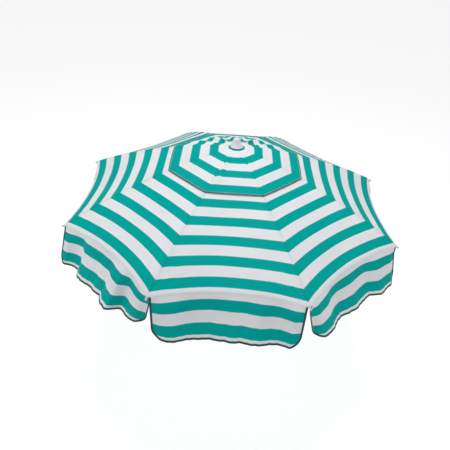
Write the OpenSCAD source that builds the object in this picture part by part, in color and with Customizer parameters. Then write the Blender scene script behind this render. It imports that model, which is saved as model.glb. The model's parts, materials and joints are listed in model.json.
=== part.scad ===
// Beach umbrella: eight striped cloth panels with a vent cap and a valance, on a folding frame of ribs and
// stretchers, on a two-piece telescopic pole with a ground spike. Millimetres, +Z up. The origin is the
// spike's lowest point, on the pole's axis. The canopy is open and the pole is at its shortest.

/* [Canopy] */
// Radius from the pole's axis to the rib tips
canopy_r = 850; // [845:1:860]
// Height of the crown above the rib tips
canopy_rise = 303.5; // [300:0.5:306]
// Radius of the arc that every rib follows
rib_arc_r = 2852; // [2800:1:2900]
// Height of the rib tips above the ground with the pole at its shortest
tip_z = 960; // [950:1:980]
// Thickness of a cloth solid
cloth_t = 0.8; // [0.6:0.1:1.6]
// Height of the valance, from the rib tips to its bottom edge
valance_drop = 174.7; // [160:0.1:190]
// Radius from the pole's axis to the middle of a valance flap's bottom edge
valance_r = 808; // [790:1:830]
// Corner radius at the bottom of each valance flap
flap_corner_r = 50; // [40:1:80]
// Radius of the vent hole, measured along a rib
vent_r = 238; // [220:1:260]
// Radius of the vent cap, measured along a rib
cap_r = 346; // [330:1:360]

/* [Frame] */
// Radius of a rib rod
rib_r = 2.5; // [2:0.1:2.8]
// Distance from the pole's axis to the rib and stretcher pivots
pivot_r = 26; // [25.5:0.1:27]
// Radius at which a stretcher meets its rib
joint_at_r = 425; // [415:1:430]
// Thickness of the rib and stretcher eyes
eye_t = 4; // [3.6:0.1:4.2]
// Outer radius of the rib and stretcher eyes
eye_r = 3.5; // [3.3:0.1:3.8]
// Radius of the wires that the eyes turn on
wire_r = 1; // [0.8:0.1:1.1]

/* [Pole] */
// Outer radius of the upper pole
upper_r = 16; // [15.9:0.1:16.1]
// Inner radius of the upper pole
upper_bore_r = 14.8; // [14.7:0.1:14.9]
// Outer radius of the lower pole
lower_r = 14; // [13.8:0.1:14.1]
// Inner radius of the lower pole
lower_bore_r = 13; // [12.5:0.1:13.2]
// Height of the lower pole's top end
lower_top_z = 900; // [880:1:905]
// Radius of the ground spike's shank
shank_r = 15.5; // [15:0.1:16]
// Length of the ground spike's shank
shank_len = 65; // [60:1:68]
// Length of the ground spike's point
point_len = 50; // [45:1:52]

/* [Runner and catch] */
// Length of the runner's sleeve below its pivots
runner_len = 62; // [58:1:64]
// Clearance between the runner and the pole
slide_gap = 0.5; // [0.4:0.1:0.8]
// How far the catch nose stands out of the pole
nose_out = 5; // [4:0.1:5]

/* [Hidden] */
$fn = 64;

ribs = 8;
step = 360 / ribs;      // angle between two ribs
half = step / 2;        // rib 1 stands at this azimuth, and panel 1 is centred one step round
over = 1;               // how far a cutting solid runs past what it cuts

// Centre of the rib arc in a rib's own plane: x is the distance from the pole's axis, and z is height
crown_chord = norm([canopy_r, canopy_rise]);
arc_lift = sqrt(pow(rib_arc_r, 2) - pow(crown_chord / 2, 2));
arc_x = canopy_r / 2 - arc_lift * canopy_rise / crown_chord;
arc_z = tip_z + canopy_rise / 2 - arc_lift * canopy_r / crown_chord;

// Angle on the arc at distance rho from the pole's axis, and the height there, `drop` below the cloth
function arc_angle(rho, drop = 0) = acos((rho - arc_x) / (rib_arc_r - drop));
function arc_height(rho, drop = 0) = arc_z + (rib_arc_r - drop) * sin(arc_angle(rho, drop));

rib_drop = 5.5;         // a rib's centre line runs this far below the cloth's top surface
joint_drop = 9;         // the stretcher's rivet lies this far below the rib's centre line
hub_z = arc_height(pivot_r, rib_drop);
joint_angle = arc_angle(joint_at_r);
joint_x = arc_x + (rib_arc_r - rib_drop - joint_drop) * cos(joint_angle);
joint_z = arc_z + (rib_arc_r - rib_drop - joint_drop) * sin(joint_angle);
runner_z = 2 * joint_z - hub_z;     // the rib's pivot and the stretcher's are equally far from the rivet
link_len = norm([joint_x - pivot_r, hub_z - joint_z]);
link_rise = atan2(hub_z - joint_z, joint_x - pivot_r);

// ---- Cloth ----
cap_lift = 3.4;         // the vent cap lies this far above the panels
panel_sink = 1.2;       // the panels' top lies this far below the rib arc, and clears the ribs' fittings
cap_in_r = 24;          // the gores start at this radius, inside the finial's foot
seam_gap = 0.4;         // a panel's edge stays this far from the plane of the rib
fold_r = canopy_r * 1.005;          // the rim fold, where the valance starts
rim_bow = canopy_r * 0.05;          // how far the middle of the rim lies inside its chord
rim_lift = canopy_r * 0.015;        // and above it
bow_from_r = canopy_r * 0.42;
lift_from_r = canopy_r * 0.7;
function ease(rho, from) = pow(max(0, (rho - from) / (canopy_r - from)), 1.4);

// A point of the canopy's surface: rho along the ribs, and s from -1 at one rib to 1 at the next
function cloth_point(rho, s, lift) = [
    rho * cos(half) - rim_bow * ease(rho, bow_from_r) * (1 - s * s),
    s * (rho * sin(half) - seam_gap),
    arc_height(rho) + rim_lift * ease(rho, lift_from_r) * (1 - s * s) + lift
];

// A point of a valance flap: u runs from 0 at the rim to 1 at the bottom edge
flap_z = tip_z - valance_drop;
flap_len = norm([valance_r - fold_r * cos(half), valance_drop]);
flap_inset_top = 8;
flap_inset_bottom = 26;
flap_clear = 1.6;                   // gap between a panel's rim and the top of its flap
flap_flare = 0.6;                   // share of the flare that is even, the rest grows towards the bottom
function flap_corner(u) = let (
    below = max(0, flap_corner_r - (1 - u) * flap_len)
) flap_corner_r - sqrt(pow(flap_corner_r, 2) - pow(below, 2));
function flap_half_width(u) =
    fold_r * sin(half) - flap_inset_top - (flap_inset_bottom - flap_inset_top) * u - flap_corner(u);
function flap_point(u, s) = let (top = cloth_point(fold_r, s, 0)) [
    top[0] + flap_clear + (valance_r - top[0]) * (flap_flare * u + (1 - flap_flare) * u * u),
    s * flap_half_width(u),
    top[2] + (flap_z - top[2]) * u
];

// Closed solid between a grid of points, seen from outside, and the same grid moved by `inward`
module sheet(rows, inward) {
    nr = len(rows);
    nc = len(rows[0]);
    n = nr * nc;
    outer = [for (r = rows) each r];
    inner = [for (p = outer) p + inward];
    rim = concat(
        [for (j = [0:nc - 2]) j],
        [for (i = [0:nr - 2]) i * nc + nc - 1],
        [for (j = [nc - 1:-1:1]) (nr - 1) * nc + j],
        [for (i = [nr - 1:-1:1]) i * nc]
    );
    faces = concat(
        [for (i = [0:nr - 2], j = [0:nc - 2]) let (a = i * nc + j) each
            [[a, a + 1, a + nc + 1], [a, a + nc + 1, a + nc],
             [n + a + nc + 1, n + a + 1, n + a], [n + a + nc, n + a + nc + 1, n + a]]],
        [for (k = [0:len(rim) - 1]) let (p = rim[k], q = rim[(k + 1) % len(rim)]) each
            [[q, p, n + p], [q, n + p, n + q]]]
    );
    polyhedron(concat(outer, inner), faces);
}

// Places a child, made about azimuth 0, at each azimuth that its number says
module at_rib(i) rotate([0, 0, half + step * (i - 1)]) children();
module at_panel(i) rotate([0, 0, step * i]) children();

panel_rows = 11;
panel_cols = 6;
cap_rows = 5;
module canopy_panel(i) at_panel(i) {
    color("mediumseagreen") sheet(
        [for (k = [0:panel_rows]) let (rho = vent_r + (fold_r - vent_r) * k / panel_rows)
            [for (j = [0:panel_cols]) cloth_point(rho, -1 + 2 * j / panel_cols, -panel_sink)]],
        [0, 0, -cloth_t]);
    color("darkcyan") sheet(
        [for (k = [0:cap_rows]) let (rho = cap_in_r + (cap_r - cap_in_r) * k / cap_rows)
            [for (s = [-1, 0, 1]) cloth_point(rho, s, cap_lift)]],
        [0, 0, -cloth_t]);
}

flap_cols = 8;
flap_steps = [0, 0.3, 0.55, 0.72, 0.86, 0.95, 1];
module valance(i) at_panel(i) color("seagreen") sheet(
    [for (u = flap_steps) [for (j = [0:flap_cols]) flap_point(u, -1 + 2 * j / flap_cols)]],
    [-cloth_t, 0, 0]);

// ---- Ribs and stretchers ----
// Rod along the rib arc between two distances from the pole's axis, in the plane y = 0
module rib_rod(rho_a, rho_b, r) {
    a = arc_angle(rho_a, rib_drop);
    b = arc_angle(rho_b, rib_drop);
    translate([arc_x, 0, arc_z]) rotate([90, 0, 0]) rotate([0, 0, b])
        rotate_extrude(angle = a - b, $fn = 1080)
            translate([rib_arc_r - rib_drop, 0]) circle(r, $fn = 24);
}
// Disc or hole about the tangential line through [x, z]
module across(x, z, r, width)
    translate([x, 0, z]) rotate([90, 0, 0]) cylinder(h = width, r = r, center = true);

eye_bore_r = wire_r + 0.3;
rivet_r = 1.5;
rod_from_r = pivot_r + 10;          // the rod starts clear of the hub's flange
neck_h = 5;
neck_slope = 90 - arc_angle(rod_from_r);
module rib(i) at_rib(i) color("ghostwhite") difference() {
    union() {
        rib_rod(rod_from_r, canopy_r, rib_r);
        across(pivot_r, hub_z, eye_r, eye_t);
        translate([pivot_r, 0, hub_z]) rotate([0, neck_slope, 0])
            translate([0, -eye_t / 2, -neck_h / 2]) cube([rod_from_r - pivot_r + 3, eye_t, neck_h]);
    }
    across(pivot_r, hub_z, eye_bore_r, eye_t + 2 * over);
}

// Saddle over the rib with two cheeks that hold the stretcher's rivet
cheek_t = 1.5;
saddle_len = 15;
saddle_top = 4.2;
module rib_joint(i) at_rib(i) color("silver") {
    tilt = 90 - joint_angle;
    cheek_y = eye_t / 2 + 0.5;
    translate([joint_x, 0, joint_z]) rotate([0, tilt, 0]) {
        difference() {
            translate([-saddle_len / 2, -cheek_y - cheek_t, joint_drop - saddle_top])
                cube([saddle_len, 2 * (cheek_y + cheek_t), saddle_top + rib_r]);
            translate([-saddle_len, 0, joint_drop]) rotate([0, 90, 0])
                cylinder(h = 2 * saddle_len, r = rib_r + 0.05);
            translate([-saddle_len, -cheek_y, joint_drop - saddle_top - over])
                cube([2 * saddle_len, 2 * cheek_y, saddle_top - rib_r]);
        }
        for (side = [-1, 1]) translate([0, side * (cheek_y + cheek_t / 2), 0]) {
            rotate([90, 0, 0]) cylinder(h = cheek_t, r = 4, center = true);
            translate([-4, -cheek_t / 2, 0]) cube([8, cheek_t, joint_drop - 1]);
        }
        rotate([90, 0, 0]) cylinder(h = 2 * (cheek_y + cheek_t) + 1.6, r = rivet_r, center = true);
    }
}

tip_ball_r = 5;
tip_sleeve_r = 3;
module rib_tip(i) at_rib(i) color("gray") difference() {
    end = arc_angle(canopy_r, rib_drop);
    translate([canopy_r, 0, arc_height(canopy_r, rib_drop)]) rotate([0, 90 - end, 0]) union() {
        translate([-22, 0, 0]) rotate([0, 90, 0]) cylinder(h = 34, r = tip_sleeve_r);
        translate([12, 0, 0]) sphere(tip_ball_r, $fn = 32);
    }
    rib_rod(canopy_r - 60, canopy_r, rib_r + 0.02);
}

// Channel bar from the rivet to the runner's wire
bar_h = 6;
groove_w = 2;
groove_from = 12;
module stretcher(i) at_rib(i) color("ghostwhite") difference() {
    rivet_bore_r = rivet_r + 0.2;
    translate([pivot_r, 0, runner_z]) rotate([0, -link_rise, 0]) difference() {
        union() {
            translate([0, -eye_t / 2, -bar_h / 2]) cube([link_len, eye_t, bar_h]);
            for (x = [0, link_len]) across(x, 0, eye_r, eye_t);
        }
        across(0, 0, eye_bore_r, eye_t + 2 * over);
        across(link_len, 0, rivet_bore_r, eye_t + 2 * over);
        translate([groove_from, -groove_w / 2, -bar_h])
            cube([link_len - 2 * groove_from, groove_w, bar_h + 1]);
    }
}

// ---- Hub and runner ----
// Slots for the eyes, cut in a flange at height z
slot_w = eye_t + 1;
slot_in_r = upper_r + 5.6;
flange_r = pivot_r + 5;
flange_h = 9;
module slots(z) for (i = [1:ribs]) at_rib(i)
    translate([slot_in_r, -slot_w / 2, z - flange_h]) cube([flange_r, slot_w, 2 * flange_h]);
module wire_ring(z, r)
    translate([0, 0, z]) rotate_extrude($fn = 96) translate([pivot_r, 0]) circle(r, $fn = 24);

hub_skirt = 26;
hub_body_r = upper_r + 4.5;
module rib_hub() color("white") difference() {
    union() {
        translate([0, 0, hub_z - hub_skirt]) cylinder(h = hub_skirt + flange_h / 2, r = hub_body_r);
        translate([0, 0, hub_z - flange_h / 2]) cylinder(h = flange_h, r = flange_r);
    }
    translate([0, 0, hub_z - hub_skirt - over]) cylinder(h = hub_skirt + over, r = upper_r);
    cylinder(h = 2 * hub_z, r = finial_stem_r);
    slots(hub_z);
    wire_ring(hub_z, wire_r + 0.3);
}
module hub_wire() color("silver") wire_ring(hub_z, wire_r);

runner_bore_r = upper_r + slide_gap;
runner_body_r = runner_bore_r + 4;
grip_r = 25;
module runner() color("white") difference() {
    union() {
        translate([0, 0, runner_z - runner_len]) cylinder(h = runner_len + 12, r = runner_body_r);
        translate([0, 0, runner_z - flange_h / 2]) cylinder(h = flange_h, r = flange_r);
        translate([0, 0, runner_z - runner_len]) cylinder(h = 8, r = grip_r);
        translate([0, 0, runner_z - runner_len + 8]) cylinder(h = 5, r1 = grip_r, r2 = runner_body_r);
    }
    translate([0, 0, runner_z - runner_len - over]) cylinder(h = runner_len + 14, r = runner_bore_r);
    slots(runner_z);
    wire_ring(runner_z, wire_r + 0.3);
}
module runner_wire() color("silver") wire_ring(runner_z, wire_r);

// ---- Finial ----
finial_stem_r = 6;
finial_z = arc_height(cap_in_r) + cap_lift + 0.6;
finial_h = 49;
finial_foot_r = 32;
finial_knob_r = 17;
// The bell between foot and knob: how far in from the foot's edge it is, and at what height
finial_bell = [[1, 5], [4.5, 9], [9.5, 18], [13.5, 27]];
module finial() color("gainsboro") {
    knob_c = finial_h - finial_knob_r;
    translate([0, 0, finial_z]) rotate_extrude() union() {
        polygon(concat(
            [[0, 0], [finial_foot_r - 2, 0], [finial_foot_r, 2]],
            [for (p = finial_bell) [finial_foot_r - p[0], p[1]]],
            [[finial_knob_r, knob_c], [0, knob_c]]
        ));
        intersection() {
            translate([0, knob_c]) circle(finial_knob_r);
            square([finial_knob_r + over, finial_h]);
        }
    }
    stem_z = hub_z - 10;
    translate([0, 0, stem_z]) cylinder(h = finial_z - stem_z, r = finial_stem_r);
}

// ---- Pole ----
collar_z = 125;
collar_h = 70;
collar_r = 21;
upper_z = 165;                      // the upper pole starts here, inside the collar
catch_z = runner_z - runner_len - 0.6;
nose_h = 13;
nose_w = 6;
catch_gap = 0.5;
module upper_pole() color("white") difference() {
    translate([0, 0, upper_z]) cylinder(h = hub_z - upper_z, r = upper_r);
    translate([0, 0, upper_z - over]) cylinder(h = hub_z - upper_z + 2 * over, r = upper_bore_r);
    translate([0, -nose_w / 2 - catch_gap, catch_z - nose_h - 2 * catch_gap])
        cube([upper_r + over, nose_w + 2 * catch_gap, nose_h + 3 * catch_gap]);
}

// Leaf inside the pole with a nose that stands out through the slot, under the runner
leaf_t = 1.2;
leaf_x = upper_bore_r - 0.6 - leaf_t;
leaf_len = 66;
module catch_spring() color("silver")
    translate([0, nose_w / 2, catch_z]) rotate([90, 0, 0]) linear_extrude(nose_w) polygon([
        [leaf_x, leaf_len], [leaf_x, -nose_h - 4], [leaf_x + leaf_t, -nose_h - 4],
        [leaf_x + leaf_t, -nose_h], [upper_r + 1, -nose_h], [upper_r + nose_out, -3],
        [upper_r + nose_out, 0], [leaf_x + leaf_t, 0],
        [leaf_x + leaf_t, leaf_len]
    ]);

module clamp_collar() color("white") difference() {
    union() {
        translate([0, 0, collar_z]) cylinder(h = collar_h, r = collar_r);
        translate([0, 0, collar_z]) cylinder(h = 6, r = collar_r + 2);
        translate([0, 0, knob_z]) rotate([0, -90, 0]) cylinder(h = boss_r, r = 9);
    }
    translate([0, 0, collar_z - over]) cylinder(h = collar_h + 2 * over, r = lower_r + 0.4);
    translate([0, 0, upper_z]) cylinder(h = collar_h, r = upper_r);
    translate([0, 0, knob_z]) rotate([0, -90, 0]) cylinder(h = boss_r + over, r = screw_r + 0.3);
}

// Thumb screw with a lobed head
knob_z = 146;
boss_r = 27;
screw_r = 3;
knob_head_r = 14;
knob_lobes = 6;
module clamp_knob() color("dimgray") translate([0, 0, knob_z]) rotate([0, -90, 0]) {
    translate([0, 0, lower_r + 0.4]) cylinder(h = boss_r - lower_r + 3, r = screw_r);
    difference() {
        translate([0, 0, boss_r + 1]) cylinder(h = 12, r = knob_head_r);
        for (k = [0:knob_lobes - 1]) rotate([0, 0, 360 / knob_lobes * k])
            translate([knob_head_r + 2, 0, boss_r]) cylinder(h = 14, r = 4.5);
    }
}

spike_top = point_len + shank_len;
module lower_pole() color("whitesmoke") difference() {
    translate([0, 0, spike_top]) cylinder(h = lower_top_z - spike_top, r = lower_r);
    translate([0, 0, spike_top - over]) cylinder(h = lower_top_z - spike_top + 2 * over, r = lower_bore_r);
}
module pole_bushing() color("dimgray") {
    translate([0, 0, lower_top_z]) cylinder(h = 24, r = upper_bore_r - 0.3);
    translate([0, 0, lower_top_z - 30]) cylinder(h = 30, r = lower_bore_r);
}
module ground_spike() color("dimgray") {
    cylinder(h = point_len, r1 = 2, r2 = shank_r - 1.5);
    translate([0, 0, point_len]) cylinder(h = shank_len, r = shank_r);
    translate([0, 0, spike_top]) cylinder(h = 34, r = lower_bore_r);
}

// ---- What is drawn ----
lower_pole();
ground_spike();
pole_bushing();
upper_pole();
clamp_collar();
clamp_knob();
rib_hub();
hub_wire();
finial();
catch_spring();
runner();
runner_wire();
for (i = [1:ribs]) {
    rib(i);
    rib_joint(i);
    rib_tip(i);
    stretcher(i);
    canopy_panel(i);
    valance(i);
}
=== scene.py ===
"""Looks of the beach umbrella: striped cloth, binding, stitching and hardware finishes round the CAD frame.

Metres, in the row frame: +Z up the pole, the origin at the spike's lowest point, panel 6 towards the camera.
"""
import json
import math

import bpy
import numpy as np
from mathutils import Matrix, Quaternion, Vector


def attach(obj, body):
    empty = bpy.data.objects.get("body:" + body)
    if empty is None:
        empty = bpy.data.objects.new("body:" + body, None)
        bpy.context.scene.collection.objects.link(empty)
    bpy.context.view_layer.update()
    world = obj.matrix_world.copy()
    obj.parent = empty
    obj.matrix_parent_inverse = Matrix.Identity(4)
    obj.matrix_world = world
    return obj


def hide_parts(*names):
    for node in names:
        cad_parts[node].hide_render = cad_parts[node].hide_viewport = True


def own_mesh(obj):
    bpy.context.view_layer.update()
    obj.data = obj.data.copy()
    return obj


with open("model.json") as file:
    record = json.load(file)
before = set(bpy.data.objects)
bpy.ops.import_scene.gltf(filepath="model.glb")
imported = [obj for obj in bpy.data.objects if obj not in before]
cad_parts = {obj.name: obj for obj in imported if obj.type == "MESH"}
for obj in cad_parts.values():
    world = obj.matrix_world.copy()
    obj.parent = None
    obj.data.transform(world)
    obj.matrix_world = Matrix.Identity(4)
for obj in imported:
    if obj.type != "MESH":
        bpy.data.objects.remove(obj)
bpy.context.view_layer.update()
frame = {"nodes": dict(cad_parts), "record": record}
RIBS = range(1, 9)

# ---- The canopy's surface, as in the CAD part ----
CANOPY_R = 0.85                 # pole axis to rib tips
RISE = 0.3035                   # rib tips to crown
RIB_ARC_R = 2.852
TIP_Z = 0.96
HALF = math.radians(22.5)       # half the angle between two ribs
FOLD_R = 1.005 * CANOPY_R       # the rim, where the valance starts
RIM_BOW, BOW_FROM = 0.05 * CANOPY_R, 0.42 * CANOPY_R
RIM_LIFT, LIFT_FROM = 0.015 * CANOPY_R, 0.70 * CANOPY_R
VENT_R = 0.238
CAP_IN_R, CAP_R = 0.0262, 0.346
VALANCE_DROP = 0.1747
FLAP_CORNER_R = 0.05
FLAP_INSET_TOP, FLAP_INSET_BOTTOM = 0.008, 0.026
FLAP_FLARE = 0.6                # share of a flap's flare that is even, the rest grows towards the bottom
ROLL_R = 0.018                  # radius of the soft fold at the rim
PANEL_LIFT = -0.0011            # the panels' height over the rib arc
CAP_LIFT = 0.0036               # the vent cap's
CLOTH_T = 0.0005

chord = math.hypot(CANOPY_R, RISE)
arc_lift = math.sqrt(RIB_ARC_R ** 2 - (chord / 2) ** 2)
ARC_X = CANOPY_R / 2 - arc_lift * RISE / chord
ARC_Z = TIP_Z + RISE / 2 - arc_lift * CANOPY_R / chord

# ---- The woven stripes: place of a green stripe's outer edge along a rib, and the repeat ----
STRIPE_EDGE, STRIPE_REPEAT = 0.9825 * CANOPY_R, 0.1195 * CANOPY_R
CAP_STRIPE_EDGE, CAP_STRIPE_REPEAT = 0.404 * CANOPY_R, 0.1175 * CANOPY_R
GREEN_SHARE = 0.485

RIB_AZ = {i: math.radians(45 * i - 22.5) for i in RIBS}
PANEL_AZ = {i: math.radians(45 * i) for i in RIBS}


def arc_height(rho):
    return ARC_Z + RIB_ARC_R * np.sin(np.arccos((rho - ARC_X) / RIB_ARC_R))


def ease(rho, start):
    return np.maximum(0, (rho - start) / (CANOPY_R - start)) ** 1.4


def smooth(x, a, b):
    t = np.clip((x - a) / (b - a), 0, 1)
    return t * t * (3 - 2 * t)


def half_width(rho):
    return rho * math.sin(HALF)


def cloth_point(rho, y, lift):
    """Points of the canopy's surface about azimuth 0, y metres to the side of the panel's middle."""
    s = y / half_width(rho)
    x = rho * math.cos(HALF) - RIM_BOW * ease(rho, BOW_FROM) * (1 - s * s)
    z = arc_height(rho) + RIM_LIFT * ease(rho, LIFT_FROM) * (1 - s * s) + lift
    return np.stack([x + 0 * y, y + 0 * rho, z], axis=-1)


def turned(points, azimuth):
    c, s = math.cos(azimuth), math.sin(azimuth)
    return points @ np.array([[c, s, 0], [-s, c, 0], [0, 0, 1]])


# ---- Mesh building ----
def unit(v):
    return v / np.maximum(np.linalg.norm(v, axis=-1, keepdims=True), 1e-12)


def grid_normals(grid):
    return unit(np.cross(np.gradient(grid, axis=0), np.gradient(grid, axis=1)))


def new_object(name, verts, faces, material, attributes=None):
    mesh = bpy.data.meshes.new(name)
    mesh.from_pydata(verts.reshape(-1, 3).tolist(), [], faces.tolist() if hasattr(faces, "tolist") else faces)
    mesh.polygons.foreach_set("use_smooth", [True] * len(mesh.polygons))
    for key, values in (attributes or {}).items():
        kind = "FLOAT_VECTOR" if values.ndim == 2 else "FLOAT"
        field = "vector" if kind == "FLOAT_VECTOR" else "value"
        layer = mesh.attributes.new(key, kind, "POINT")
        layer.data.foreach_set(field, values.astype(np.float32).ravel())
    mesh.materials.append(material)
    mesh.validate()
    obj = bpy.data.objects.new(name, mesh)
    bpy.context.scene.collection.objects.link(obj)
    return obj


def cloth(name, grid, across, along, stripe, material, thick=CLOTH_T, normals=None):
    """Closed thin cloth under a grid of points, with the coordinates of the weave and the stripes."""
    rows, cols = grid.shape[:2]
    inner = grid - (grid_normals(grid) if normals is None else normals) * thick
    k = np.arange(rows * cols).reshape(rows, cols)
    n = rows * cols
    a, b, c, d = k[:-1, :-1], k[1:, :-1], k[1:, 1:], k[:-1, 1:]
    top = np.stack([a, b, c, d], -1).reshape(-1, 4)
    bottom = np.stack([d, c, b, a], -1).reshape(-1, 4) + n
    rim = np.concatenate([k[:-1, 0], k[-1, :-1], k[:0:-1, -1], k[0, :0:-1]])
    after = np.roll(rim, -1)
    side = np.stack([rim, rim + n, after + n, after], -1)
    weave = np.stack([across, along, 0 * along], -1).reshape(-1, 3)
    return new_object(name, np.concatenate([grid.reshape(-1, 3), inner.reshape(-1, 3)]),
                      np.concatenate([top, bottom, side]), material,
                      {"weave": np.concatenate([weave, weave]), "stripe": np.tile(stripe.ravel(), 2)})


def resample(path, normals, step):
    """The same path with its points about `step` apart, with its normals."""
    d = np.concatenate([[0], np.cumsum(np.linalg.norm(np.diff(path, axis=0), axis=1))])
    t = np.linspace(0, d[-1], max(3, round(d[-1] / step) + 1))
    pick = lambda v: np.stack([np.interp(t, d, v[:, j]) for j in range(3)], -1)
    return pick(path), unit(pick(normals)), t


def tape(name, path, normals, half_w, half_t, material, sides=14, inset=0.0):
    """Flat rounded tube along a path: the binding over a cloth's edge."""
    path, normals, along = resample(path, normals, 0.003)
    t = unit(np.gradient(path, axis=0))
    out = unit(np.cross(t, normals))
    path = path - out * inset
    ang = np.linspace(0, 2 * math.pi, sides, endpoint=False)
    flat = lambda v: np.sign(v) * np.abs(v) ** 0.75
    ring = (out[:, None] * (flat(np.cos(ang)) * half_w)[None, :, None]
            + normals[:, None] * (flat(np.sin(ang)) * half_t)[None, :, None])
    verts = path[:, None] + ring
    m = len(path)
    k = np.arange(m * sides).reshape(m, sides)
    j = np.roll(k, -1, axis=1)
    quads = np.stack([k[:-1], k[1:], j[1:], j[:-1]], -1).reshape(-1, 4).tolist()
    ends = [k[0].tolist(), k[-1, ::-1].tolist()]
    weave = np.stack([np.broadcast_to(ang * half_w, (m, sides)), np.broadcast_to(along[:, None], (m, sides)),
                      np.zeros((m, sides))], -1).reshape(-1, 3)
    return new_object(name, verts, quads + ends, material, {"weave": weave})


def stitches(name, runs, material, pitch=0.0036, length=0.0026, width=0.0006, stripe=None):
    """Rows of raised stitches. A run is a path and its normals. `stripe` gives them the cloth's stripes."""
    centres, tangents, ups = [], [], []
    for path, normals in runs:
        p, n, _ = resample(path, normals, pitch)
        centres.append(p), tangents.append(unit(np.gradient(p, axis=0))), ups.append(n)
    c, t, n = (np.concatenate(v)[:, None, None] for v in (centres, tangents, ups))
    side = np.cross(n, t)
    ang = np.linspace(0, 2 * math.pi, 6, endpoint=False)[None, None, :, None]
    reach = np.array([-0.5, -0.34, 0, 0.34, 0.5])[None, :, None, None] * length
    girth = np.array([0.25, 0.8, 1, 0.8, 0.25])[None, :, None, None] * width / 2
    bow = np.array([-0.25, 0.1, 0.28, 0.1, -0.25])[None, :, None, None] * width
    verts = c + t * reach + n * bow + (side * np.cos(ang) + n * np.sin(ang)) * girth
    count = verts.shape[0]
    k = np.arange(30).reshape(5, 6)
    j = np.roll(k, -1, axis=1)
    quads = np.stack([k[:-1], j[:-1], j[1:], k[1:]], -1).reshape(-1, 4)
    caps = np.array([[0, 5, 4, 3, 2, 1], [24, 25, 26, 27, 28, 29]])
    first = (np.arange(count) * 30)[:, None, None]
    faces = (quads[None] + first).reshape(-1, 4).tolist() + (caps[None] + first).reshape(-1, 6).tolist()
    under = None
    if stripe is not None:
        rho = np.linalg.norm(verts[..., :2], axis=-1)
        under = {"stripe": np.broadcast_to(stripe(rho.mean((1, 2)))[:, None, None], rho.shape).ravel(),
                 "weave": verts.reshape(-1, 3)}
    return new_object(name, verts, faces, material, under)


# ---- Material nodes ----
class Shader:
    """A material's node tree, with short calls for the nodes used here."""

    def __init__(self, name, **settings):
        self.material = bpy.data.materials.new(name)
        self.material.use_nodes = True
        self.tree = self.material.node_tree
        self.bsdf = self.tree.nodes["Principled BSDF"]
        self.output = self.tree.nodes["Material Output"]
        self.coords = self.node("ShaderNodeTexCoord").outputs["Object"]
        for key, value in settings.items():
            self.set(key, value)

    def set(self, key, value):
        socket = self.bsdf.inputs[key.replace("_", " ")]
        if isinstance(value, bpy.types.NodeSocket):
            self.link(value, socket)
        else:
            socket.default_value = value

    def node(self, kind, **properties):
        made = self.tree.nodes.new(kind)
        for key, value in properties.items():
            setattr(made, key, value)
        return made

    def link(self, a, b):
        self.tree.links.new(a, b)

    def put(self, value, socket):
        if isinstance(value, bpy.types.NodeSocket):
            self.link(value, socket)
        else:
            socket.default_value = value

    def math(self, op, a, b=0.0, c=0.0):
        made = self.node("ShaderNodeMath", operation=op)
        for value, socket in zip((a, b, c), made.inputs):
            self.put(value, socket)
        return made.outputs[0]

    def attribute(self, name):
        return self.node("ShaderNodeAttribute", attribute_name=name).outputs

    def noise(self, scale, detail=2.0, rough=0.5, coords=None, out="Fac"):
        made = self.node("ShaderNodeTexNoise")
        made.inputs["Scale"].default_value = scale
        made.inputs["Detail"].default_value = detail
        made.inputs["Roughness"].default_value = rough
        self.link(coords or self.coords, made.inputs["Vector"])
        return made.outputs[out]

    def stretched(self, factors, coords=None):
        made = self.node("ShaderNodeMapping")
        made.inputs["Scale"].default_value = factors
        self.link(coords or self.coords, made.inputs["Vector"])
        return made.outputs[0]

    def span(self, value, a, b, low, high):
        made = self.node("ShaderNodeMapRange", interpolation_type="SMOOTHSTEP")
        for v, socket in zip((value, a, b, low, high), made.inputs):
            self.put(v, socket)
        return made.outputs[0]

    def mix(self, factor, a, b, blend="MIX"):
        made = self.node("ShaderNodeMix", data_type="RGBA", blend_type=blend)
        self.put(factor, made.inputs[0])
        self.put(a, made.inputs[6])
        self.put(b, made.inputs[7])
        return made.outputs[2]

    def bump(self, height, distance, strength=1.0, after=None):
        made = self.node("ShaderNodeBump")
        made.inputs["Strength"].default_value = strength
        made.inputs["Distance"].default_value = distance
        self.link(height, made.inputs["Height"])
        if after is not None:
            self.link(after, made.inputs["Normal"])
        return made.outputs[0]


def grey(v):
    return (v, v, v, 1)


WHITE_CLOTH = (0.885, 0.90, 0.915, 1)
GREEN_CLOTH = (0.0, 0.44, 0.405, 1)
YARN = 0.0011                   # width of one yarn of the weave


def woven(shader, coords, yarn):
    """Height of a plain weave, 0 to 1, and which of its two yarns is on top."""
    split = shader.node("ShaderNodeSeparateXYZ")
    shader.link(coords, split.inputs[0])
    u = shader.math("SINE", shader.math("MULTIPLY", split.outputs[0], math.pi / yarn))
    v = shader.math("SINE", shader.math("MULTIPLY", split.outputs[1], math.pi / yarn))
    both = shader.math("MULTIPLY", u, v)
    return shader.math("POWER", shader.math("ABSOLUTE", both), 0.5), shader.span(both, -0.15, 0.15, 0, 1)


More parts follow.
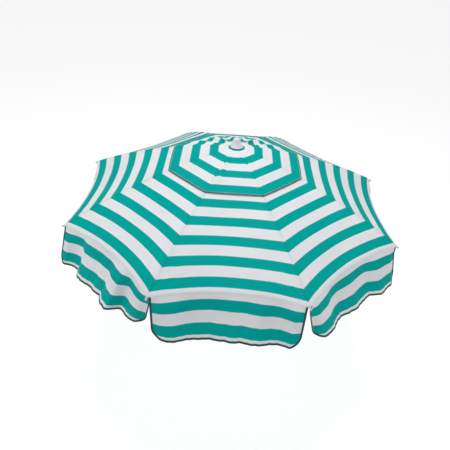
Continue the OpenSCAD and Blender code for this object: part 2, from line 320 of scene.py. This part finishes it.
def striped_cloth():
    """Plain-woven polyester with green stripes, a soft sheen, and some light through it."""
    sh = Shader("striped_cloth", Sheen_Weight=0.16, Sheen_Roughness=0.20, Specular_IOR_Level=0.03)
    sh.set("Sheen Tint", (0.93, 0.98, 1, 1))
    weave = sh.attribute("weave")["Vector"]
    stripe = sh.attribute("stripe")["Fac"]
    jitter = sh.math("MULTIPLY", sh.math("SUBTRACT", sh.noise(900, 1), 0.5), 0.008)
    phase = sh.math("FRACT", sh.math("ADD", stripe, jitter))
    edge = 0.004
    rise = sh.span(phase, 0, edge, 0, 1)
    fall = sh.span(phase, GREEN_SHARE - edge, GREEN_SHARE, 1, 0)
    green = sh.math("MULTIPLY", rise, fall)
    height, warp_up = woven(sh, weave, YARN)
    colour = sh.mix(green, WHITE_CLOTH, GREEN_CLOTH)
    # Slubs along the yarns, faint clouding, and painted shade in the hollows of the weave
    slub = sh.noise(1, 3, 0.6, sh.stretched((40, 900, 1), weave))
    colour = sh.mix(0.16, colour, sh.mix(sh.span(slub, 0.35, 0.65, 0, 1), grey(0.80), grey(1.0)), "MULTIPLY")
    cloud = sh.noise(5, 3, 0.55)
    colour = sh.mix(sh.span(cloud, 0.35, 0.7, 0, 0.07), colour, grey(0.45), "MULTIPLY")
    # Painted shade: the weave's hollows darken towards grey 0.25, by up to 0.12 where the weave is lowest
    weave_hollow_shade = sh.span(height, 0.0, 0.7, 0.12, 0)
    colour = sh.mix(weave_hollow_shade, colour, grey(0.25), "MULTIPLY")
    colour = sh.mix(sh.math("MULTIPLY", warp_up, 0.06), colour, grey(0.6), "MULTIPLY")
    sh.set("Base Color", colour)
    sh.set("Roughness", sh.span(slub, 0.3, 0.7, 0.56, 0.70))
    crease = sh.noise(1, 4, 0.55, sh.stretched((9, 22, 1), weave))
    normal = sh.bump(crease, 0.0016, 0.35)
    normal = sh.bump(height, 0.00022, 0.55, normal)
    sh.set("Normal", normal)
    through = sh.node("ShaderNodeBsdfTranslucent")
    sh.link(colour, through.inputs["Color"])
    sh.link(normal, through.inputs["Normal"])
    both = sh.node("ShaderNodeMixShader")
    both.inputs[0].default_value = 0.16
    sh.link(sh.bsdf.outputs[0], both.inputs[1])
    sh.link(through.outputs[0], both.inputs[2])
    sh.link(both.outputs[0], sh.output.inputs["Surface"])
    return sh.material


def tape_cloth(name, colour, yarn=0.0008):
    """Twill tape: the dark binding, and the white ties and seam tape."""
    sh = Shader(name, Roughness=0.8, Sheen_Weight=0.2, Sheen_Roughness=0.5)
    weave = sh.attribute("weave")["Vector"]
    split = sh.node("ShaderNodeSeparateXYZ")
    sh.link(weave, split.inputs[0])
    diagonal = sh.math("ADD", split.outputs[0], sh.math("MULTIPLY", split.outputs[1], 0.9))
    rib = sh.math("ABSOLUTE", sh.math("SINE", sh.math("MULTIPLY", diagonal, math.pi / yarn)))
    fuzz = sh.noise(1400, 2)
    # Painted shade in the twill's grooves: the tape darkens to 0.6 of its colour where the rib is low; the
    # fuzz adds a random tone
    dark = tuple(c * 0.6 for c in colour[:3]) + (1,)
    sh.set("Base Color", sh.mix(sh.math("MULTIPLY", rib, sh.span(fuzz, 0.2, 0.8, 0.6, 1)), dark, colour))
    sh.set("Normal", sh.bump(sh.math("ADD", rib, sh.math("MULTIPLY", fuzz, 0.4)), 0.0002, 0.7))
    return sh.material


def thread(name, colour):
    """Twisted sewing thread."""
    sh = Shader(name, Roughness=0.55, Sheen_Weight=0.25)
    twist = sh.noise(2600, 1)
    # Painted shade in the twist's grooves: the thread darkens to 0.7 of its colour where the twist's bump is
    # low
    dark = tuple(c * 0.7 for c in colour[:3]) + (1,)
    sh.set("Base Color", sh.mix(sh.span(twist, 0.35, 0.65, 0, 1), dark, colour))
    sh.set("Normal", sh.bump(twist, 0.0001, 0.6))
    return sh.material


def painted(name, colour, roughness, peel, wear):
    """Powder coat or enamel: orange peel, fine scuffs, and a little grime in patches."""
    sh = Shader(name, Coat_Weight=0.35, Coat_Roughness=0.18, IOR=1.5)
    patch = sh.noise(14, 4, 0.6)
    scuff = sh.noise(1, 2, 0.5, sh.stretched((900, 900, 26)))
    scratch = sh.span(scuff, 0.70, 0.74, 0, wear)
    colour_out = sh.mix(sh.span(patch, 0.5, 0.75, 0, 0.22), colour, (0.62, 0.60, 0.55, 1))
    sh.set("Base Color", sh.mix(scratch, colour_out, (0.5, 0.5, 0.5, 1)))
    sh.set("Roughness", sh.span(patch, 0.3, 0.7, roughness, roughness + 0.12))
    peeled = sh.bump(sh.noise(peel, 2), 0.0004, 0.18)
    sh.set("Normal", sh.bump(scratch, 0.0001, 0.4, peeled))
    return sh.material


def moulded(name, colour, roughness, grain=1500, strength=0.3):
    """Moulded plastic: fine spark texture, flow marks and light soiling."""
    sh = Shader(name, IOR=1.47)
    flow = sh.noise(1, 3, 0.5, sh.stretched((30, 30, 9)))
    fine = sh.noise(grain, 3, 0.6)
    soiled = tuple(c * 0.80 for c in colour[:3]) + (1,)
    sh.set("Base Color", sh.mix(sh.span(flow, 0.42, 0.72, 0, 0.5), colour, soiled))
    sh.set("Roughness", sh.span(fine, 0.3, 0.7, roughness, roughness + 0.14))
    sh.set("Normal", sh.bump(fine, 0.0002, strength, sh.bump(flow, 0.0008, 0.12)))
    return sh.material


def zinc_steel():
    """Bright zinc plate with drawing lines and duller spangle."""
    sh = Shader("zinc_steel", Metallic=1.0)
    spangle = sh.node("ShaderNodeTexVoronoi")
    spangle.inputs["Scale"].default_value = 420
    sh.link(sh.coords, spangle.inputs["Vector"])
    lines = sh.noise(1, 2, 0.5, sh.stretched((1800, 1800, 60)))
    tone = sh.mix(spangle.outputs["Color"], grey(0.52), (0.68, 0.69, 0.71, 1))
    sh.set("Base Color", sh.mix(sh.span(lines, 0.4, 0.6, 0, 0.3), tone, grey(0.40)))
    sh.set("Roughness", sh.span(lines, 0.3, 0.7, 0.24, 0.42))
    sh.set("Normal", sh.bump(lines, 0.0001, 0.35))
    return sh.material


def glass_fibre():
    """White pultruded rod: glossy resin over faint lengthwise fibres."""
    sh = Shader("glass_fibre", Coat_Weight=0.5, Coat_Roughness=0.12, Roughness=0.4)
    fibre = sh.noise(1, 3, 0.6, sh.stretched((700, 700, 1400)))
    resin, yellowed = (0.80, 0.80, 0.77, 1), (0.62, 0.62, 0.58, 1)
    sh.set("Base Color", sh.mix(sh.span(fibre, 0.35, 0.7, 0, 0.6), resin, yellowed))
    sh.set("Normal", sh.bump(fibre, 0.0001, 0.35))
    return sh.material


CLOTH = striped_cloth()
BINDING = tape_cloth("binding_tape", (0.006, 0.062, 0.047, 1))
WHITE_TAPE = tape_cloth("white_tape", (0.80, 0.80, 0.80, 1))
GREEN_THREAD = thread("green_thread", (0.01, 0.13, 0.105, 1))
WHITE_THREAD = thread("white_thread", (0.82, 0.84, 0.84, 1))
FINISHES = {
    "pole_paint": painted("powder_coat", (0.83, 0.83, 0.82, 1), 0.30, 420, 0.5),
    "stretcher_paint": painted("white_enamel", (0.80, 0.80, 0.79, 1), 0.24, 800, 0.7),
    "rib_rod": glass_fibre(),
    "bright_steel": zinc_steel(),
    "white_plastic": moulded("white_nylon", (0.80, 0.80, 0.79, 1), 0.34),
    "finial_plastic": moulded("finial_plastic", (0.74, 0.73, 0.76, 1), 0.36, 1100, 0.25),
    "tip_plastic": moulded("tip_plastic", (0.58, 0.59, 0.58, 1), 0.42),
    "grey_plastic": moulded("grey_plastic", (0.05, 0.053, 0.056, 1), 0.45),
    "spike_plastic": moulded("spike_plastic", (0.035, 0.038, 0.04, 1), 0.52, 900, 0.5),
}

# ---- Cloth pieces ----
EDGE_STEPS = np.array([0, 0.0007, 0.0014, 0.0026, 0.0046, 0.0066, 0.0078, 0.0095, 0.012])


def columns(half, count):
    """Side positions for each row: close together along both seams, and even between them."""
    near = np.minimum(1, 0.45 * half / EDGE_STEPS[-1])[:, None] * EDGE_STEPS
    inner = (half - near[:, -1])[:, None] * np.linspace(-1, 1, count + 2)[None, 1:-1]
    left = -half[:, None] + near
    return np.concatenate([left, inner, -left[:, ::-1]], axis=1)


def seam_relief(edge):
    """The felled seam: a groove on the seam line, a raised double layer beside it."""
    return 0.00035 * smooth(edge, 0.0006, 0.0016) * (1 - smooth(edge, 0.0066, 0.0092)) - 0.0006 * (
        1 - smooth(edge, 0, 0.0013))


def pucker(rho, y, edge, panel):
    """Small ripples that the stitching pulls into the cloth beside a seam. Both sides of a rib share them."""
    rib = np.where(y < 0, panel, panel % 8 + 1)
    wave = np.sin(2 * np.pi * rho / 0.021 + 1.9 * np.sin(17 * rho + rib) + 2.1 * rib)
    return 0.00032 * wave * np.exp(-edge / 0.016) * (0.55 + 0.45 * np.sin(9.3 * rho + 1.7 * rib))


def slack(rho, y, half, panel):
    """Broad soft unevenness of the stretched cloth, none of it at the ribs."""
    s = y / half
    hold = (1 - s * s) ** 0.8
    a = np.sin(9.5 * rho + 2.2 * panel) * np.cos(7.0 * y / 0.3 + 1.3 * panel)
    b = np.sin(23 * rho - 11 * y + 0.9 * panel) + np.sin(19 * rho + 15 * y + 2.6 * panel)
    return hold * (0.0009 * a + 0.0003 * b) * smooth(rho, 0.1, 0.5)


def tip_pull(rho, y, half, panel):
    """Fine folds that fan out from the two rib tips."""
    total = 0
    for side in (-1, 1):
        dx, dy = FOLD_R - rho, half - side * y
        far, fan = np.hypot(dx, dy), np.arctan2(dy, np.maximum(dx, 1e-6))
        near = np.exp(-((far - 0.10) / 0.07) ** 2) * smooth(dy, 0, 0.02)
        total = total + np.sin(13 * fan + panel + side) * near
    return 0.0011 * total


def surface(rho, y, lift, panel, relief=1.0):
    """The canopy's surface with its seams, ripples and slack."""
    half = half_width(rho)
    edge = half - np.abs(y)
    extra = seam_relief(edge) + pucker(rho, y, edge, panel) + slack(rho, y, half, panel)
    return cloth_point(rho, y, lift + relief * extra)


def flap_corner(u, length):
    below = np.maximum(0, FLAP_CORNER_R - (1 - u) * length)
    return FLAP_CORNER_R - np.sqrt(np.maximum(FLAP_CORNER_R ** 2 - below ** 2, 0))


# How far each flap's bottom edge hangs from the pole: the front ones swing out, the others hang straighter
FLAP_REACH = {4: 0.775, 5: 0.829, 6: 0.829, 7: 0.829, 8: 0.775}
OTHER_REACH = 0.780
# Folds of each flap: how far its first end stands out at the bottom, then where along it the cloth turns out
# or in (from -1 to 1) and by how far
FLAP_FOLDS = {
    5: (0.026, [(-1.00, -0.66, -0.042), (-0.64, -0.48, 0.032), (-0.45, -0.10, -0.008), (0.08, 0.30, 0.026),
                (0.38, 0.56, -0.052), (0.60, 0.74, 0.008), (0.78, 1.00, -0.022)]),
    6: (0.024, [(-1.00, -0.80, 0.006), (-0.74, -0.36, -0.026), (-0.20, 0.06, 0.010), (0.22, 0.42, 0.010),
                (0.44, 0.60, -0.014), (0.66, 0.88, 0.016)]),
    7: (0.0, [(-1.00, -0.84, 0.014), (-0.66, -0.42, -0.026), (-0.30, -0.10, 0.012), (0.02, 0.24, -0.012),
              (0.33, 0.58, 0.030), (0.64, 0.86, -0.008)]),
}
CURL_IN, CURL_WIDTH = 0.011, 0.045


def folds_of(panel):
    if panel in FLAP_FOLDS:
        return FLAP_FOLDS[panel]
    dice = np.random.RandomState(40 + panel)
    starts = np.linspace(-0.92, 0.55, 5) + dice.uniform(-0.06, 0.06, 5)
    signs = np.where(np.arange(5) % 2 == dice.randint(2), 1, -1)
    return 0, [(a, a + dice.uniform(0.18, 0.32), k * dice.uniform(0.010, 0.022))
               for a, k in zip(starts, signs)]


def flap_offset(u, s, panel):
    """How far the hanging cloth stands out or in of its plain flare."""
    hang = 0.5 * smooth(u, 0, 0.3) + 0.5 * u
    first, folds = folds_of(panel)
    out = first + sum(size * smooth(s, a, b) for a, b, size in folds)
    ripple = (0.0022 * np.sin(24 * s + 2 * panel + 1.5 * np.sin(5 * s + panel)) * u ** 1.2
              + 0.0007 * np.sin(61 * s + panel) * u ** 2)
    end = smooth(np.abs(s), 1 - CURL_WIDTH / 0.31, 1)
    return hang * out + ripple - CURL_IN * end * smooth(u, 0.0, 0.25)


def rim_line(s, panel):
    """The rim's fold: its points, and the directions in which the panel reaches it and the flap leaves it."""
    half = half_width(FOLD_R)
    corner = cloth_point(np.array(FOLD_R), s * half, PANEL_LIFT)
    before = cloth_point(np.array(FOLD_R - 0.004), s * (half - 0.0015), PANEL_LIFT)
    reach = FLAP_REACH.get(panel, OTHER_REACH)
    drop = np.stack([FLAP_FLARE * (reach - corner[..., 0]), 0 * s, TIP_Z - VALANCE_DROP - corner[..., 2]], -1)
    into = corner - before
    into[..., 1] = 0
    return corner, unit(into), unit(drop)


def rim_roll(corner, into, down, t):
    """A point of the soft fold between the panel, t = 0, and the flap, t = 1."""
    bend = np.arccos(np.clip((into * down).sum(-1), -1, 1))
    reach = (ROLL_R * np.tan(bend / 2))[..., None]
    return corner - into * reach * (1 - t) ** 2 + down * reach * t ** 2


def flap_surface(u, s, panel, folds=1.0):
    """Points of the hanging flap: u from the rim to the bottom edge, s from one side to the other."""
    half = FOLD_R * math.sin(HALF) - FLAP_INSET_TOP - (FLAP_INSET_BOTTOM - FLAP_INSET_TOP) * u
    top = cloth_point(np.array(FOLD_R), s * half_width(FOLD_R), PANEL_LIFT)
    reach = FLAP_REACH.get(panel, OTHER_REACH)
    x = top[..., 0] + (reach - top[..., 0]) * (FLAP_FLARE * u + (1 - FLAP_FLARE) * u * u)
    x = x - 0.0008 * (1 - smooth(u, 0.05, 0.12)) + folds * flap_offset(u, s, panel)
    return np.stack([x, s * half, top[..., 2] + (TIP_Z - VALANCE_DROP - top[..., 2]) * u], -1)


def flap_grid(panel, cols=132):
    """A flap's points, normals, coordinates across and down from the rim, and its points without folds."""
    reach = FLAP_REACH.get(panel, OTHER_REACH)
    mid_top = cloth_point(np.array(FOLD_R), np.array(0.0), 0)
    length = math.hypot(reach - mid_top[0], mid_top[2] - (TIP_Z - VALANCE_DROP))
    corner_from = 1 - FLAP_CORNER_R / length
    turn = np.linspace(0, math.pi / 2, 26)[1:]
    rounded = corner_from + (1 - corner_from) * np.sin(turn)
    u = np.concatenate([np.linspace(0.045, corner_from, 44), rounded])[:, None]
    side = FOLD_R * math.sin(HALF) - FLAP_INSET_TOP - (FLAP_INSET_BOTTOM - FLAP_INSET_TOP) * u
    across = np.linspace(-1, 1, cols)[None, :]
    across = np.sign(across) * (1 - (1 - np.abs(across)) ** 1.15)
    s = across * (1 - flap_corner(u, length) / side)
    u = u + 0 * s
    grid = flap_surface(u, s, panel)
    plain = flap_surface(u, s, panel, 0)
    step = 1e-4
    normals = unit(np.cross(grid - flap_surface(u - step, s, panel), flap_surface(u, s + step, panel) - grid))
    # The flap's top follows the fold from near its middle on, just inside the panel's turned-down edge
    top, into, down = rim_line(across[0], panel)
    roll = rim_roll(top, into, down, np.array([0.45, 0.6, 0.75, 0.9])[:, None, None])
    roll[..., 0] -= 0.0008
    roll[..., 1] = grid[0, :, 1]
    grid = np.concatenate([roll, grid])
    plain = np.concatenate([roll, plain])
    normals = np.concatenate([grid_normals(roll), normals])
    ahead = np.concatenate([np.array([-0.0012, 0.0012, 0.0034, 0.0058])[:, None] + 0 * s[:1], u * length])
    return grid, normals, np.concatenate([roll[..., 1], s * side]), ahead, plain


def keep_narrow(obj):
    """Gives the cloth its own copy of its mesh."""
    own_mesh(obj)


def place(obj, panel, body, slot):
    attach(obj, f"{body}_{panel}")
    keep_narrow(obj)
    return obj


def panel_grid(i):
    """The main panel from the vent to the rim, where its edge rolls over and lies on the valance."""
    rho = np.linspace(VENT_R, FOLD_R - 0.0085, 150)
    half = half_width(rho)
    y = columns(half, 74)
    grid = surface(rho[:, None], y, PANEL_LIFT, i)
    grid[..., 2] += tip_pull(rho[:, None], y, half[:, None], i)
    side = y[-1] / half[-1]
    corner, into, down = rim_line(side, i)
    shift = grid[-1] - rim_roll(corner, into, down, 0.0)
    steps = np.linspace(0.15, 1, 7)[:, None, None]
    lip = rim_roll(corner, into, down, steps) + shift * (1 - steps) ** 2
    edge = 0.0045 * smooth(1 - np.abs(side), 0, 0.05)[:, None]
    lip = np.concatenate([lip, lip[-1:] + down * edge * np.array([0.5, 1.0])[:, None, None]])
    grid = np.concatenate([grid, lip])
    along = np.concatenate([np.broadcast_to(rho[:, None], y.shape),
                            rho[-1] + np.linspace(0.0025, 0.0205, len(lip))[:, None] + 0 * y[-1]])
    across = np.concatenate([y, np.broadcast_to(y[-1], (len(lip), y.shape[1]))])
    return grid, across, along


def seam_lines(rho, distances, lift, i):
    """Paths beside both seams of a panel, each with its normals."""
    runs = []
    for d in distances:
        for side in (-1, 1):
            y = side * (half_width(rho) - d)
            path = surface(rho, y, lift, i)
            ahead = cloth_point(rho + 0.001, y, lift) - cloth_point(rho, y, lift)
            runs.append((turned(path, PANEL_AZ[i]), turned(unit(np.cross(ahead, [0, 1, 0])), PANEL_AZ[i])))
    return runs


def cross_line(rho, lift, i, margin=0.004, points=90):
    """Path across a panel at one distance from the pole, with its normals."""
    y = np.linspace(-1, 1, points) * (half_width(rho) - margin)
    rho = np.full(points, rho)
    path = surface(rho, y, lift, i)
    ahead = cloth_point(rho + 0.001, y, lift) - cloth_point(rho, y, lift)
    return turned(path, PANEL_AZ[i]), turned(unit(np.cross(ahead, [0, 1, 0])), PANEL_AZ[i])


def stripe_of(along):
    return (STRIPE_EDGE - along) / STRIPE_REPEAT


def cap_stripe_of(along):
    return (CAP_STRIPE_EDGE - along) / CAP_STRIPE_REPEAT


def add_panel(i):
    grid, across, along = panel_grid(i)
    obj = cloth(f"panel_cloth_{i}", turned(grid, PANEL_AZ[i]), across, along, stripe_of(along), CLOTH)
    place(obj, i, "panel", "canopy_cloth")
    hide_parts(f"canopy_panel_{i}")
    rho = np.linspace(VENT_R + 0.006, FOLD_R - 0.012, 160)
    stitch_lift = PANEL_LIFT + 0.0001
    seams = stitches(f"seam_stitches_{i}", seam_lines(rho, (0.0030, 0.0058), stitch_lift, i), CLOTH,
                     stripe=stripe_of)
    rows = [cross_line(r, stitch_lift, i) for r in (VENT_R + 0.01, FOLD_R - 0.012)]
    hems = stitches(f"hem_stitches_{i}", rows, WHITE_THREAD)
    place(seams, i, "panel", "canopy_cloth")
    place(hems, i, "panel", "canopy_cloth")
    for side in (-1, 1):
        rho_t = np.linspace(VENT_R + 0.002, FOLD_R - 0.016, 90)[:, None]
        d = np.linspace(0.0004, 0.010, 6)[None, :]
        y = side * (half_width(rho_t) - (d[:, ::-1] if side > 0 else d))
        y = np.sort(y, axis=1)
        strip = surface(rho_t, y, PANEL_LIFT - CLOTH_T - 0.0001, i, 0.6)
        along = rho_t + 0 * y
        allowance = cloth(f"seam_allowance_{i}_{'ab'[side > 0]}", turned(strip, PANEL_AZ[i]), y, along,
                          stripe_of(along), CLOTH, 0.0004)
        place(allowance, i, "panel", "canopy_cloth")


# Loose folds of the vent cap's gores. Each is its place across the gore (-1 to 1), half its width, its
# distance from the pole, and its height
CAP_FOLDS = {
    1: [(0.35, 0.30, 0.15, 0.020), (-0.40, 0.28, 0.22, 0.013)],
    2: [(-0.45, 0.30, 0.18, 0.013), (0.40, 0.32, 0.14, 0.017)],
    3: [(-0.30, 0.30, 0.16, 0.020), (0.45, 0.26, 0.24, 0.012)],
    5: [(0.80, 0.16, 0.17, 0.003)],
    6: [(-0.78, 0.20, 0.19, 0.006), (0.70, 0.22, 0.12, 0.003)],
    7: [(-0.75, 0.20, 0.14, 0.003)],
}


def cap_surface(rho, y, i):
    """The vent cap's gore: it lifts a little off the panel between the ribs, most at its free edge."""
    point = surface(rho, y, CAP_LIFT, i)
    s = y / half_width(rho)
    for middle, spread, top, height in CAP_FOLDS.get(i, []):
        across = smooth(1 - np.abs(s - middle) / spread, 0, 1) * smooth(1 - np.abs(s), 0, 0.12)
        held = smooth(rho, 0.035, 0.10) * (1 - smooth(rho, 0.25, CAP_R))
        length = np.exp(-((rho - top) / 0.10) ** 2) * held
        point[..., 2] += height * across * length
    loose = smooth(rho, 0.5 * CAP_R, CAP_R)
    point[..., 2] += 0.0015 * loose * (1 - s * s)
    point[..., 0] += 0.003 * smooth(rho, 0.8 * CAP_R, CAP_R) * (1 - s * s)
    return point


def add_cap(i):
    rho = np.linspace(CAP_IN_R, CAP_R, 84)
    y = columns(half_width(rho), 34)
    grid = cap_surface(rho[:, None], y, i)
    along = rho[:, None] + 0 * y
    obj = cloth(f"cap_cloth_{i}", turned(grid, PANEL_AZ[i]), y, along, cap_stripe_of(along), CLOTH)
    place(obj, i, "panel", "canopy_cloth")
    normals = turned(grid_normals(grid), PANEL_AZ[i])
    edge, edge_n = turned(grid, PANEL_AZ[i])[-1], normals[-1]
    binding = tape(f"cap_binding_{i}", edge, edge_n, 0.0021, 0.0009, BINDING, inset=-0.0004)
    place(binding, i, "panel", "valance_cloth")
    hem_y = np.linspace(-1, 1, 60) * (half_width(CAP_R) - 0.004)
    hem_line = turned(cap_surface(np.full(60, CAP_R - 0.0052), hem_y, i), PANEL_AZ[i])
    hem = [(hem_line, np.tile(normals[-1].mean(0), (60, 1)))]
    rows = []
    line = np.linspace(0.05, CAP_R - 0.006, 90)
    for side in (-1, 1):
        y_line = side * (half_width(line) - 0.0032)
        path = cap_surface(line, y_line, i)
        path[:, 2] += 0.0001
        rows.append((turned(path, PANEL_AZ[i]), np.tile(normals[40].mean(0), (90, 1))))
    seams = stitches(f"cap_seam_stitches_{i}", rows, CLOTH, stripe=cap_stripe_of)
    hem = stitches(f"cap_hem_stitches_{i}", hem, WHITE_THREAD, width=0.0005)
    place(seams, i, "panel", "canopy_cloth")
    place(hem, i, "panel", "canopy_cloth")


def add_flap(i):
    grid, normals, across, down, plain = flap_grid(i)
    along = FOLD_R + down
    world, normals = turned(grid, PANEL_AZ[i]), turned(normals, PANEL_AZ[i])
    obj = cloth(f"flap_cloth_{i}", world, across, along, stripe_of(along), CLOTH, normals=normals)
    place(obj, i, "flap", "valance_cloth")
    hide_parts(f"valance_{i}")
    edge = np.concatenate([world[2:, 0], world[-1, 1:], world[-2:1:-1, -1]])
    edge_n = np.concatenate([normals[2:, 0], normals[-1, 1:], normals[-2:1:-1, -1]])
    binding = tape(f"flap_binding_{i}", edge, edge_n, 0.0045, 0.0015, BINDING, inset=0.0030)
    place(binding, i, "flap", "valance_cloth")
    path, n, _ = resample(edge, edge_n, 0.003)
    out = unit(np.cross(unit(np.gradient(path, axis=0)), n))
    line = path - out * 0.0062
    seams = stitches(f"flap_stitches_{i}", [(line + n * 0.0013, n), (line - n * 0.0018, -n)], GREEN_THREAD)
    place(seams, i, "flap", "valance_cloth")


def ring_band(name, centre, axis, radius, width, thick, material, lumps=0.0):
    """A short band of tape round a rod."""
    axis = unit(np.array(axis, float))
    side = unit(np.cross(axis, [0, 0, 1.0]))
    up = np.cross(side, axis)
    ang = np.linspace(0, 2 * math.pi, 28, endpoint=False)
    radii = radius + lumps * np.maximum(0, -np.sin(ang)) ** 6
    profile = [(-0.5, 0), (-0.5, 0.7), (-0.36, 1), (0.36, 1), (0.5, 0.7), (0.5, 0)]
    verts = np.stack([[centre + axis * a * width + (side * math.cos(t) + up * math.sin(t)) * (r + h * thick)
                       for t, r in zip(ang, radii)] for a, h in profile])
    m, n = len(profile), len(ang)
    k = np.arange(m * n).reshape(m, n)
    j = np.roll(k, -1, axis=1)
    k2, j2 = np.roll(k, -1, axis=0), np.roll(j, -1, axis=0)
    along = np.repeat([a * width for a, _ in profile], n)
    weave = np.stack([along, np.tile(ang * radius, m), np.zeros(m * n)], -1)
    return new_object(name, verts, np.stack([k, j, j2, k2], -1).reshape(-1, 4), material, {"weave": weave})


def rod_point(rho, drop=0.0055):
    """A point of a rib rod's middle line, and the rod's direction there."""
    r = RIB_ARC_R - drop
    ang = math.acos((rho - ARC_X) / r)
    point = np.array([ARC_X + r * math.cos(ang), 0, ARC_Z + r * math.sin(ang)])
    return point, np.array([math.sin(ang), 0, -math.cos(ang)])


def add_ties(i):
    """Tape loops on the seam that hold the cloth to the rib, and the thread that holds it to the tip."""
    bands = [(f"rib_tie_{i}_{k}", rho, 0.0026, 0.008, WHITE_TAPE, 0.0022)
             for k, rho in enumerate((0.30, 0.56, 0.70), 1)]
    bands += [(f"tip_thread_{i}_{k + 1}", 0.838 + 0.0016 * k, 0.0033, 0.0011, WHITE_THREAD, 0.0)
              for k in range(4)]
    for name, rho, radius, width, material, lumps in bands:
        centre, axis = (turned(v, RIB_AZ[i]) for v in rod_point(rho))
        band = ring_band(name, centre, axis, radius, width, 0.0006, material, lumps)
        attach(band, f"rib_arm_{i}")


for number in RIBS:
    add_panel(number)
    add_cap(number)
    add_flap(number)
    add_ties(number)

# ---- Finishes of the CAD parts ----
for part in frame["record"]["subparts"]:
    finish = FINISHES.get(part["material_slot"])
    if finish is not None:
        mesh = frame["nodes"][part["node"]].data
        mesh.materials.clear()
        mesh.materials.append(finish)

# ---- Floor, light and camera ----
bpy.ops.mesh.primitive_circle_add(vertices=96, radius=14, fill_type="NGON", location=(0, 0, -0.001))
floor = bpy.context.object
floor.name = "floor"
sh = Shader("pale_floor", Roughness=0.9)
sh.set("Base Color", grey(0.30))
sh.set("Emission Color", grey(1.0))
sh.bsdf.inputs["Emission Strength"].default_value = 0.85
floor.data.materials.append(sh.material)

world = bpy.data.worlds.new("studio")
bpy.context.scene.world = world
world.use_nodes = True
sky = world.node_tree.nodes["Background"]
sky.inputs["Color"].default_value = (0.94, 0.965, 1.0, 1)
sky.inputs["Strength"].default_value = 0.20


def area_light(name, place, aim, size, power, colour=(1, 1, 1)):
    data = bpy.data.lights.new(name, "AREA")
    data.shape, data.size, data.energy, data.color = "DISK", size, power, colour
    lamp = bpy.data.objects.new(name, data)
    lamp.location = place
    lamp.rotation_euler = (Vector(aim) - Vector(place)).to_track_quat("-Z", "Y").to_euler()
    bpy.context.scene.collection.objects.link(lamp)


area_light("key", (-0.1, 0.3, 4.7), (0, 0, 1.1), 2.2, 116)
area_light("left_box", (-4.0, -2.0, 1.9), (0, 0, 0.95), 1.1, 50)
area_light("right_box", (3.2, -2.6, 2.3), (0, 0, 0.95), 1.1, 36)

# The camera looks down at the canopy from the front; the target is the centre of the rib tips
camera_data = bpy.data.cameras.new("camera")
camera_data.sensor_width = 36
camera_data.lens = 42.62
camera_data.shift_x, camera_data.shift_y = -0.0173, -0.0581
camera = bpy.data.objects.new("camera", camera_data)
camera.location = (-0.0429, -2.3947, TIP_Z + 1.4439)
look = (Vector((0, 0, TIP_Z)) - camera.location).to_track_quat("-Z", "Y")
camera.rotation_mode = "QUATERNION"
camera.rotation_quaternion = look @ Quaternion((0, 0, 1), math.radians(4.246))
bpy.context.scene.collection.objects.link(camera)
bpy.context.scene.camera = camera
bpy.context.scene.view_settings.view_transform = "Standard"
